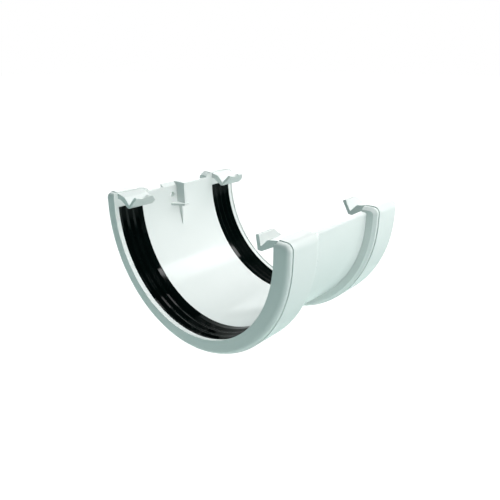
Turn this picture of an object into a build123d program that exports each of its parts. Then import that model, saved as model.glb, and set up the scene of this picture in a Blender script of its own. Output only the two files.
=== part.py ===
from build123d import *
from math import cos, radians, sin, sqrt
import os

# Half-round gutter union: a moulded plastic body with a rubber seal in each socket.
# Millimetres. X runs along the gutter, +Y is the fascia side, +Z is up.
# The origin is the centre of the half-round channel, half way along.

# The channel
gutter_radius = 56.0
gutter_clearance = 0.5
channel_wall = 2.8
body_length = 92.5
waist_rim_height = 5.1
rim_rounding = 0.8

# The socket collars
collar_length = 23.3
collar_depth = 7.7
collar_rim_height = 7.6
collar_corner_rounding = 3.0
mouth_edge_rounding = 2.4
shoulder_bevel_length = 2.2
shoulder_bevel_depth = 1.3
mouth_flange = 3.0
shoulder_flange = 3.6
band_step = 0.5
mouth_widening = 0.7
mouth_lip_length = 0.6

# The seals and their recesses
seal_width = 15.5
seal_cover = 2.2
seal_end_angle = 0.25
seal_mouth_inset = 0.8
seal_land_width = 3.2
seal_rib_height = 0.8
seal_rib_count = 3

# The retaining clips
strap_reach = 5.7
strap_top_height = 7.7
strap_underside_height = 4.35
strap_underside_reach = 2.0
knee_height = 6.4
valley_reach = 9.5
valley_height = 2.5
heel_height = 0.7
front_heel_length = 2.3
back_heel_length = 1.3
lever_top_height = 7.9
lever_thickness = 1.85
left_front_lever_lean = 0.9
right_front_lever_lean = 3.0
back_lever_lean = 5.6
lever_tip_fall = 0.4
lever_corner_length = 5.5
lever_corner_drop = 4.6
dip_depth = 1.4
dip_width = 7.0
dip_inset = 4.7
tip_rounding = 0.4
knee_rounding = 1.2
valley_rounding = 0.4

# The stop, its shelf and rib, the raised rim and the fixing hole, all on the back wall
stop_start = -2.0
stop_thickness = 2.0
stop_reach = 6.9
stop_top = 7.2
stop_bottom = -5.4
shelf_thickness = 1.3
shelf_overhang = 0.8
shelf_spread = 5.0
rib_thickness = 1.2
rib_bottom = -19.4
raised_rim_start = -11.9
raised_rim_length = 15.0
raised_rim_lift = 1.7
raised_rim_slope = 2.2
hole_radius = 1.6
hole_x = -5.4
hole_height = -0.2

# Sizes that follow from those above
channel_radius = gutter_radius + gutter_clearance
waist_radius = channel_radius + channel_wall
collar_radius = channel_radius + collar_depth
band_radius = collar_radius + band_step
mouth_radius = channel_radius + mouth_widening
recess_radius = collar_radius - seal_cover
root_radius = channel_radius + channel_wall / 2
mouth_x = body_length / 2
shoulder_x = mouth_x - collar_length
band_start = shoulder_x + shoulder_flange
band_end = mouth_x - mouth_flange
recess_x = band_end - seal_width
cut_margin = 5.0


def half_round(radius, top, rounding=0):
    """Section of a half-round trough: a half circle with upright sides up to the top."""
    with BuildSketch() as section:
        with BuildLine():
            ThreePointArc((-radius, 0), (0, -radius), (radius, 0))
            Polyline((radius, 0), (radius, top), (-radius, top), (-radius, 0))
        make_face()
        if rounding > 0:
            fillet(section.vertices().group_by(Axis.Y)[-1], radius=rounding)
    return section.sketch


def clip_section(side, lean, heel_length):
    """Section of a clip: a strap from the wall, a valley, and a lever that stands up again.
    side is 1 for the back wall and -1 for the front wall; lean is how far the lever leans in.
    heel_length is the flat under the valley, which holds the gutter's rim down."""
    parallel_shift = lean * (valley_height - heel_height) / (lever_top_height - valley_height)
    root = (root_radius, strap_top_height)
    knee = (channel_radius - strap_reach, knee_height)
    valley = (channel_radius - valley_reach, valley_height)
    tip_back = (valley[0] - lean, lever_top_height)
    tip_front = (tip_back[0] - lever_thickness, lever_top_height - lever_tip_fall)
    heel_front = (valley[0] - lever_thickness + parallel_shift, heel_height)
    heel_back = (heel_front[0] + heel_length, heel_height)
    underside = (channel_radius - strap_underside_reach, strap_underside_height)
    root_under = (root_radius, strap_underside_height)
    outline = [root, knee, valley, tip_back, tip_front, heel_front, heel_back, underside, root_under]
    roundings = [
        (knee, knee_rounding),
        (valley, valley_rounding),
        (tip_back, tip_rounding),
        (tip_front, tip_rounding),
        (heel_front, tip_rounding),
    ]
    with BuildSketch() as section:
        with BuildLine():
            Polyline(*[(side * reach, height) for reach, height in outline], close=True)
        make_face()
        for corner, rounding in roundings:
            point = Vector(side * corner[0], corner[1], 0)
            fillet(section.vertices().sort_by_distance(point)[0], radius=rounding)
    return section.sketch


def wall_root(height):
    """Distance from the X axis to the middle of the channel wall at a height below the axis."""
    return sqrt(root_radius**2 - height**2)


def seal_section(mouth_end):
    """Section of a seal along X and outward from the axis: a flat land, then ribs to the mouth.
    mouth_end is 1 when the mouth is at its +X end and -1 when it is at its -X end."""
    ribbed_width = seal_width - seal_land_width
    taper = seal_mouth_inset / ribbed_width
    outline = [(0, recess_radius), (0, channel_radius), (seal_land_width, channel_radius)]
    for index in range(seal_rib_count):
        valley = ribbed_width * (index + 0.5) / seal_rib_count
        crest = ribbed_width * (index + 1) / seal_rib_count
        outline.append((seal_land_width + valley, channel_radius + taper * valley + seal_rib_height))
        outline.append((seal_land_width + crest, channel_radius + taper * crest))
    outline.append((seal_width, recess_radius))
    with BuildSketch() as section:
        with BuildLine():
            Polyline(*[(mouth_end * (recess_x + x), radius) for x, radius in outline], close=True)
        make_face()
    return section.sketch


# The plane the seals are turned from, through the X axis and the back end of the seals.
# From there they are turned down round the channel to the same height at the front.
seal_tilt = radians(seal_end_angle)
seal_plane = Plane(origin=(0, 0, 0), x_dir=(1, 0, 0), z_dir=(0, sin(seal_tilt), cos(seal_tilt)))
seal_axis = Axis((0, 0, 0), (-1, 0, 0))
seal_arc = 180 - 2 * seal_end_angle

with BuildPart() as union_body:
    # Both collars as solid blocks, bevelled at the shoulder and rounded at the mouth
    for start in (-mouth_x, shoulder_x):
        with BuildSketch(Plane.YZ.offset(start)):
            add(half_round(collar_radius, collar_rim_height, collar_corner_rounding))
        extrude(amount=collar_length)
    for side in (-1, 1):
        shoulder_centre = Vector(side * shoulder_x, 0, -collar_radius / 2)
        shoulder_face = union_body.faces().filter_by(Axis.X).sort_by_distance(shoulder_centre)[0]
        chamfer(
            shoulder_face.edges(),
            length=shoulder_bevel_depth,
            length2=shoulder_bevel_length,
            reference=shoulder_face,
        )
    mouth_faces = union_body.faces().filter_by(Axis.X).sort_by(Axis.X)
    fillet(mouth_faces[0].edges() + mouth_faces[-1].edges(), radius=mouth_edge_rounding)

    # The band round each collar, a step proud of the flange at each end
    for start in (-band_end, band_start):
        with BuildSketch(Plane.YZ.offset(start)):
            add(
                half_round(
                    band_radius,
                    collar_rim_height + band_step,
                    collar_corner_rounding + band_step,
                )
            )
        extrude(amount=band_end - band_start)

    # The waist between the collars, with the raised part of its back rim
    with BuildSketch(Plane.YZ.offset(-shoulder_x)):
        add(half_round(waist_radius, waist_rim_height, rim_rounding))
    extrude(amount=2 * shoulder_x)
    with BuildSketch(Plane.YZ.offset(raised_rim_start)):
        with BuildLine():
            Polyline(
                (channel_radius, 0),
                (channel_radius, waist_rim_height),
                (channel_radius + raised_rim_slope, waist_rim_height + raised_rim_lift),
                (waist_radius, waist_rim_height + raised_rim_lift),
                (waist_radius, 0),
                close=True,
            )
        make_face()
    extrude(amount=raised_rim_length)

    # The channel, widening a little through each socket, up to a thin lip round its mouth
    with BuildSketch(Plane.YZ.offset(-mouth_x)):
        add(half_round(channel_radius, collar_rim_height + cut_margin))
    extrude(amount=body_length, mode=Mode.SUBTRACT)
    for side in (-1, 1):
        with BuildSketch(Plane.YZ.offset(side * recess_x)):
            add(half_round(channel_radius, collar_rim_height + cut_margin))
        with BuildSketch(Plane.YZ.offset(side * (mouth_x - mouth_lip_length))):
            add(half_round(mouth_radius, collar_rim_height + cut_margin))
        loft(mode=Mode.SUBTRACT)

    # The recess of each seal
    for start in (recess_x, -recess_x - seal_width):
        with BuildSketch(seal_plane):
            with Locations((start, channel_radius - cut_margin)):
                Rectangle(
                    seal_width,
                    recess_radius - channel_radius + cut_margin,
                    align=(Align.MIN, Align.MIN),
                )
        revolve(axis=seal_axis, revolution_arc=seal_arc, mode=Mode.SUBTRACT)

    # The four clips, over the seals
    for start, front_lever_lean in (
        (-recess_x - seal_width, left_front_lever_lean),
        (recess_x, right_front_lever_lean),
    ):
        with BuildSketch(Plane.YZ.offset(start)):
            add(clip_section(-1, front_lever_lean, front_heel_length))
            add(clip_section(1, back_lever_lean, back_heel_length))
        extrude(amount=seal_width)

    # Each lever has its corner cut at the +X end, and the back ones have a dip
    dip_radius = ((dip_width / 2) ** 2 + dip_depth**2) / (2 * dip_depth)
    lever_edge = channel_radius - valley_reach
    lever_cut = back_lever_lean + 2 * lever_thickness
    for start in (recess_x, -recess_x - seal_width):
        lever_end = start + seal_width
        for face_y in (lever_edge, lever_cut - lever_edge):
            with BuildSketch(Plane.XZ.offset(-face_y)):
                with BuildLine():
                    Polyline(
                        (lever_end - lever_corner_length, lever_top_height),
                        (lever_end, lever_top_height - lever_corner_drop),
                        (lever_end + cut_margin, lever_top_height - lever_corner_drop),
                        (lever_end + cut_margin, lever_top_height + cut_margin),
                        (lever_end - lever_corner_length, lever_top_height + cut_margin),
                        close=True,
                    )
                make_face()
            extrude(amount=lever_cut, mode=Mode.SUBTRACT)
        with BuildSketch(Plane.XZ.offset(-lever_edge)):
            with Locations((start + dip_inset, lever_top_height - dip_depth + dip_radius)):
                Circle(dip_radius)
        extrude(amount=lever_cut, mode=Mode.SUBTRACT)

    # The stop that keeps the two gutter ends apart, on its shelf and rib
    with BuildSketch(Plane.YZ.offset(stop_start)):
        with BuildLine():
            Polyline(
                (channel_radius - stop_reach, stop_bottom),
                (channel_radius - stop_reach, stop_top),
                (channel_radius + raised_rim_slope, stop_top),
                (channel_radius + raised_rim_slope, waist_rim_height),
                (root_radius, waist_rim_height),
                (root_radius, stop_bottom),
                close=True,
            )
        make_face()
    extrude(amount=stop_thickness)
    stop_end = stop_start + stop_thickness
    shelf_nose = channel_radius - stop_reach - shelf_overhang
    with BuildSketch(Plane.XY.offset(stop_bottom)):
        with BuildLine():
            Polyline(
                (stop_start - shelf_spread, wall_root(stop_bottom)),
                (stop_start - shelf_spread, channel_radius - shelf_overhang),
                (stop_start - shelf_overhang, shelf_nose),
                (stop_end + shelf_overhang, shelf_nose),
                (stop_end + shelf_overhang, wall_root(stop_bottom)),
                close=True,
            )
        make_face()
    extrude(amount=-shelf_thickness)
    shelf_bottom = stop_bottom - shelf_thickness
    rib_front = sqrt(channel_radius**2 - rib_bottom**2)
    with BuildSketch(Plane.YZ.offset(stop_end - rib_thickness)):
        with BuildLine():
            Polyline(
                (rib_front, shelf_bottom),
                (wall_root(shelf_bottom), shelf_bottom),
                (wall_root(rib_bottom), rib_bottom),
                (rib_front, rib_bottom),
                close=True,
            )
        make_face()
    extrude(amount=rib_thickness)

    # The fixing hole through the back wall
    with BuildSketch(Plane.XZ.offset(-waist_radius - cut_margin)):
        with Locations((hole_x, hole_height)):
            Circle(hole_radius)
    extrude(amount=channel_wall + 2 * cut_margin, mode=Mode.SUBTRACT)

with BuildPart() as seal_left:
    with BuildSketch(seal_plane):
        add(seal_section(-1))
    revolve(axis=seal_axis, revolution_arc=seal_arc)

with BuildPart() as seal_right:
    with BuildSketch(seal_plane):
        add(seal_section(1))
    revolve(axis=seal_axis, revolution_arc=seal_arc)

union_body.part.label = "union_body"
seal_left.part.label = "seal_left"
seal_right.part.label = "seal_right"

os.makedirs("parts", exist_ok=True)
export_step(union_body.part, "parts/union_body.step")
export_step(seal_left.part, "parts/seal_left.step")
export_step(seal_right.part, "parts/seal_right.step")
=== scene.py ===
import math

import bmesh
import bpy
from mathutils import Matrix, Vector


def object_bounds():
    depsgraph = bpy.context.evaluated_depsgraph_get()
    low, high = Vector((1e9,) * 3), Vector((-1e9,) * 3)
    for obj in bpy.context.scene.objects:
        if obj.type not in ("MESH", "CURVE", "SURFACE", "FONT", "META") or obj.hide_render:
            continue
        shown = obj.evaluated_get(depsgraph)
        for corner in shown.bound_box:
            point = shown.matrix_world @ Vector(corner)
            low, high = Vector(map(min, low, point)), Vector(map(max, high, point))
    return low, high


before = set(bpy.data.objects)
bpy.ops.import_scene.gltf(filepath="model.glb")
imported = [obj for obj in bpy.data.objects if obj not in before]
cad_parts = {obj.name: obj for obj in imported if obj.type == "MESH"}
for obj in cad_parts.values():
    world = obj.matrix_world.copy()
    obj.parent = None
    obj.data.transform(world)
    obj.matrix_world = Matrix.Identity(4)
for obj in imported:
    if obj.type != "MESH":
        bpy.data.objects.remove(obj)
cad_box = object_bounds()


# The white body is one injection moulding in rigid PVC: the half-round waist, the two socket
# collars, the four sprung clips, the stop and the fixing hole. It leaves the mould with a low
# sheen, a faint unevenness of the surface and slightly softened edges.
MM = 0.001


def white_upvc():
    material = bpy.data.materials.new("white_upvc")
    material.use_nodes = True
    nodes, links = material.node_tree.nodes, material.node_tree.links
    shader = nodes["Principled BSDF"]
    shader.inputs["IOR"].default_value = 1.53
    shader.inputs["Specular IOR Level"].default_value = 0.06

    place = nodes.new("ShaderNodeTexCoord")

    # Slow drift of the pigment and of the finish over the moulding
    pigment = nodes.new("ShaderNodeTexNoise")
    pigment.inputs["Scale"].default_value = 28.0
    pigment.inputs["Detail"].default_value = 3.0
    tint = nodes.new("ShaderNodeValToRGB")
    tint.color_ramp.elements[0].position = 0.30
    tint.color_ramp.elements[0].color = (0.770, 0.800, 0.788, 1.0)
    tint.color_ramp.elements[1].position = 0.70
    tint.color_ramp.elements[1].color = (0.795, 0.822, 0.810, 1.0)
    finish = nodes.new("ShaderNodeTexNoise")
    finish.inputs["Scale"].default_value = 60.0
    finish.inputs["Detail"].default_value = 4.0
    finish_range = nodes.new("ShaderNodeMapRange")
    finish_range.inputs["To Min"].default_value = 0.10
    finish_range.inputs["To Max"].default_value = 0.13

    # Fine texture of the mould and the faint waves of shrinkage
    grain = nodes.new("ShaderNodeTexNoise")
    grain.inputs["Scale"].default_value = 1800.0
    grain.inputs["Detail"].default_value = 2.0
    waves = nodes.new("ShaderNodeTexNoise")
    waves.inputs["Scale"].default_value = 90.0
    waves.inputs["Detail"].default_value = 1.0
    grain_bump = nodes.new("ShaderNodeBump")
    grain_bump.inputs["Strength"].default_value = 0.12
    grain_bump.inputs["Distance"].default_value = 0.02 * MM
    wave_bump = nodes.new("ShaderNodeBump")
    wave_bump.inputs["Strength"].default_value = 0.12
    wave_bump.inputs["Distance"].default_value = 0.05 * MM

    # Edges as a polished mould leaves them, a quarter of a millimetre round
    edges = nodes.new("ShaderNodeBevel")
    edges.samples = 6
    edges.inputs["Radius"].default_value = 0.25 * MM

    for texture in (pigment, finish, grain, waves):
        links.new(place.outputs["Object"], texture.inputs["Vector"])
    links.new(pigment.outputs["Fac"], tint.inputs["Fac"])
    links.new(tint.outputs["Color"], shader.inputs["Base Color"])
    links.new(finish.outputs["Fac"], finish_range.inputs["Value"])
    links.new(finish_range.outputs["Result"], shader.inputs["Roughness"])
    links.new(waves.outputs["Fac"], wave_bump.inputs["Height"])
    links.new(edges.outputs["Normal"], wave_bump.inputs["Normal"])
    links.new(grain.outputs["Fac"], grain_bump.inputs["Height"])
    links.new(wave_bump.outputs["Normal"], grain_bump.inputs["Normal"])
    links.new(grain_bump.outputs["Normal"], shader.inputs["Normal"])
    return material


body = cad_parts["union_body"]
body.data.materials.clear()
body.data.materials.append(white_upvc())


# Each seal is a moulded strip of black rubber, pressed into the recess of its socket. Its fine
# ribs run round the channel, and the gutter's end is pushed down on them.
def black_rubber():
    material = bpy.data.materials.new("black_rubber")
    material.use_nodes = True
    nodes, links = material.node_tree.nodes, material.node_tree.links
    shader = nodes["Principled BSDF"]
    shader.inputs["IOR"].default_value = 1.52
    shader.inputs["Specular IOR Level"].default_value = 0.08

    place = nodes.new("ShaderNodeTexCoord")

    # A faint bloom on the surface changes its black and its gloss
    bloom = nodes.new("ShaderNodeTexNoise")
    bloom.inputs["Scale"].default_value = 70.0
    bloom.inputs["Detail"].default_value = 5.0
    tint = nodes.new("ShaderNodeValToRGB")
    tint.color_ramp.elements[0].position = 0.35
    tint.color_ramp.elements[0].color = (0.0008, 0.0022, 0.0020, 1.0)
    tint.color_ramp.elements[1].position = 0.75
    tint.color_ramp.elements[1].color = (0.0016, 0.0034, 0.0032, 1.0)
    finish_range = nodes.new("ShaderNodeMapRange")
    finish_range.inputs["To Min"].default_value = 0.05
    finish_range.inputs["To Max"].default_value = 0.08
    grain = nodes.new("ShaderNodeTexNoise")
    grain.inputs["Scale"].default_value = 1400.0
    grain.inputs["Detail"].default_value = 2.0
    grain_bump = nodes.new("ShaderNodeBump")
    grain_bump.inputs["Strength"].default_value = 0.2
    grain_bump.inputs["Distance"].default_value = 0.02 * MM

    # The ribs are moulded with round crests and round roots
    ribs = nodes.new("ShaderNodeBevel")
    ribs.samples = 8
    ribs.inputs["Radius"].default_value = 0.6 * MM

    for texture in (bloom, grain):
        links.new(place.outputs["Object"], texture.inputs["Vector"])
    links.new(bloom.outputs["Fac"], tint.inputs["Fac"])
    links.new(tint.outputs["Color"], shader.inputs["Base Color"])
    links.new(bloom.outputs["Fac"], finish_range.inputs["Value"])
    links.new(finish_range.outputs["Result"], shader.inputs["Roughness"])
    links.new(grain.outputs["Fac"], grain_bump.inputs["Height"])
    links.new(ribs.outputs["Normal"], grain_bump.inputs["Normal"])
    links.new(grain_bump.outputs["Normal"], shader.inputs["Normal"])
    return material


rubber = black_rubber()
for name in ("seal_left", "seal_right"):
    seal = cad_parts[name]
    seal.data.materials.clear()
    seal.data.materials.append(rubber)


# The floor is a plain white sheet under the collars. To the camera it glows, and a little more
# with distance, so that it reads as pure white and runs into the background without a line.
def white_floor():
    material = bpy.data.materials.new("white_floor")
    material.use_nodes = True
    nodes, links = material.node_tree.nodes, material.node_tree.links
    nodes.clear()
    paper = nodes.new("ShaderNodeBsdfDiffuse")
    paper.inputs["Color"].default_value = (0.70, 0.80, 0.78, 1.0)
    seen_paper = nodes.new("ShaderNodeBsdfDiffuse")
    seen_paper.inputs["Color"].default_value = (0.25, 0.25, 0.25, 1.0)
    place = nodes.new("ShaderNodeTexCoord")
    on_the_sheet = nodes.new("ShaderNodeMapping")
    on_the_sheet.inputs["Scale"].default_value = (1.0, 1.0, 0.0)
    distance = nodes.new("ShaderNodeVectorMath")
    distance.operation = "LENGTH"
    glow_range = nodes.new("ShaderNodeMapRange")
    glow_range.interpolation_type = "SMOOTHSTEP"
    glow_range.inputs["From Min"].default_value = 0.15
    glow_range.inputs["From Max"].default_value = 0.70
    glow_range.inputs["To Min"].default_value = 0.90
    glow_range.inputs["To Max"].default_value = 1.03
    glow = nodes.new("ShaderNodeEmission")
    seen = nodes.new("ShaderNodeAddShader")
    path = nodes.new("ShaderNodeLightPath")
    choose = nodes.new("ShaderNodeMixShader")
    out = nodes.new("ShaderNodeOutputMaterial")
    links.new(place.outputs["Object"], on_the_sheet.inputs["Vector"])
    links.new(on_the_sheet.outputs["Vector"], distance.inputs[0])
    links.new(distance.outputs["Value"], glow_range.inputs["Value"])
    links.new(glow_range.outputs["Result"], glow.inputs["Strength"])
    links.new(seen_paper.outputs["BSDF"], seen.inputs[0])
    links.new(glow.outputs["Emission"], seen.inputs[1])
    links.new(path.outputs["Is Camera Ray"], choose.inputs["Fac"])
    links.new(paper.outputs["BSDF"], choose.inputs[1])
    links.new(seen.outputs["Shader"], choose.inputs[2])
    links.new(choose.outputs["Shader"], out.inputs["Surface"])
    return material


lowest = cad_box[0][2]
sheet = bmesh.new()
bmesh.ops.create_grid(sheet, x_segments=1, y_segments=1, size=4.0)
bmesh.ops.translate(sheet, verts=sheet.verts, vec=(0.0, 0.0, lowest))
floor_mesh = bpy.data.meshes.new("floor")
sheet.to_mesh(floor_mesh)
sheet.free()
floor = bpy.data.objects.new("floor", floor_mesh)
bpy.context.scene.collection.objects.link(floor)
floor.data.materials.append(white_floor())


# The camera stands before the left end of the union and a little above it, as for a
# catalogue picture. Its place and lens were fitted to that view, in the union's own frame.
camera_data = bpy.data.cameras.new("camera")
camera_data.lens = 36.17
camera_data.sensor_width = 36.0
camera_data.clip_start = 0.01
camera = bpy.data.objects.new("camera", camera_data)
view_forward = Vector((0.6923, 0.6259, -0.3590)).normalized()
view_up = Vector((0.2663, 0.2407, 0.9333))
view_right = view_forward.cross(view_up).normalized()
view_up = view_right.cross(view_forward)
camera.matrix_world = Matrix((
    (view_right.x, view_up.x, -view_forward.x, -193.70 * MM),
    (view_right.y, view_up.y, -view_forward.y, -177.07 * MM),
    (view_right.z, view_up.z, -view_forward.z, 77.56 * MM),
    (0.0, 0.0, 0.0, 1.0),
))
bpy.context.scene.collection.objects.link(camera)
bpy.context.scene.camera = camera


# Square soft panels light the union, as in a photographer's light tent: a key from the right, a
# fill from the front, one above and one behind. In such a tent light comes round the union from
# all over, so the key and the fill throw no shadow.
def light_panel(name, position, size, watts, colour, turn=0.0):
    data = bpy.data.lights.new(name, "AREA")
    data.shape = "RECTANGLE"
    data.size, data.size_y = size
    data.energy = watts
    data.color = colour
    lamp = bpy.data.objects.new(name, data)
    lamp.location = position
    towards_union = Vector((0.0, 0.0, -20.0 * MM)) - Vector(position)
    aim = towards_union.to_track_quat("-Z", "Y").to_matrix() @ Matrix.Rotation(turn, 3, "Z")
    lamp.rotation_euler = aim.to_euler()
    lamp.visible_camera = False
    bpy.context.scene.collection.objects.link(lamp)
    return lamp


rosy = (1.0, 0.965, 0.965)
warm_white = (1.0, 0.98, 0.98)
key_panel = light_panel("key_panel", (0.585, -0.385, 0.66), (0.5, 0.5), 8.6, rosy)
fill_panel = light_panel("fill_panel", (0.30, -0.85, 0.45), (0.5, 0.5), 2.9, rosy)
for panel in (key_panel, fill_panel):
    panel.data.use_shadow = False
rear_panel = light_panel("rear_panel", (0.0, 1.0, 0.35), (0.6, 0.6), 3.5, warm_white)
top_panel = light_panel("top_panel", (0.0, 0.0, 1.2), (0.8, 0.8), 3.1, warm_white)
for panel in (key_panel, fill_panel, rear_panel, top_panel):
    panel.visible_glossy = False


# Two more panels are seen only in the gloss of the moulding. The long one makes the wet streak
# down the channel and fades along its length, and the card shows along the tops of the rims.
plain_white = (1.0, 1.0, 1.0)
long_panel = light_panel(
    "long_panel", (1.89, -0.963, 2.12), (0.95, 0.52), 26.0, plain_white, turn=math.radians(21.0))
long_panel.data.use_nodes = True
panel_nodes, panel_links = long_panel.data.node_tree.nodes, long_panel.data.node_tree.links
along_panel = panel_nodes.new("ShaderNodeTexCoord")
split = panel_nodes.new("ShaderNodeSeparateXYZ")
fade = panel_nodes.new("ShaderNodeMapRange")
fade.inputs["To Min"].default_value = 1.4
fade.inputs["To Max"].default_value = 0.6
panel_links.new(along_panel.outputs["UV"], split.inputs["Vector"])
panel_links.new(split.outputs["X"], fade.inputs["Value"])
panel_links.new(fade.outputs["Result"], panel_nodes["Emission"].inputs["Strength"])
back_card = light_panel("back_card", (1.5, 1.35, 0.60), (2.2, 1.0), 18.0, plain_white)
for panel in (long_panel, back_card):
    panel.visible_diffuse = False


# The room is white to the camera and gives a little cool light. It is dark in reflections, as
# black rubber only looks black when there is little round it to reflect.
world = bpy.data.worlds.new("studio")
bpy.context.scene.world = world
world.use_nodes = True
room_nodes, room_links = world.node_tree.nodes, world.node_tree.links
room_nodes.clear()
surroundings = room_nodes.new("ShaderNodeBackground")
surroundings.inputs["Color"].default_value = (0.45, 1.0, 0.95, 1.0)
surroundings.inputs["Strength"].default_value = 0.155
dark_room = room_nodes.new("ShaderNodeBackground")
dark_room.inputs["Color"].default_value = (0.70, 1.0, 0.95, 1.0)
dark_room.inputs["Strength"].default_value = 0.02
white_room = room_nodes.new("ShaderNodeBackground")
white_room.inputs["Color"].default_value = (1.0, 1.0, 1.0, 1.0)
white_room.inputs["Strength"].default_value = 1.0
path = room_nodes.new("ShaderNodeLightPath")
reflected = room_nodes.new("ShaderNodeMixShader")
seen = room_nodes.new("ShaderNodeMixShader")
out = room_nodes.new("ShaderNodeOutputWorld")
room_links.new(path.outputs["Is Glossy Ray"], reflected.inputs["Fac"])
room_links.new(surroundings.outputs["Background"], reflected.inputs[1])
room_links.new(dark_room.outputs["Background"], reflected.inputs[2])
room_links.new(path.outputs["Is Camera Ray"], seen.inputs["Fac"])
room_links.new(reflected.outputs["Shader"], seen.inputs[1])
room_links.new(white_room.outputs["Background"], seen.inputs[2])
room_links.new(seen.outputs["Shader"], out.inputs["Surface"])

bpy.context.scene.view_settings.view_transform = "Standard"
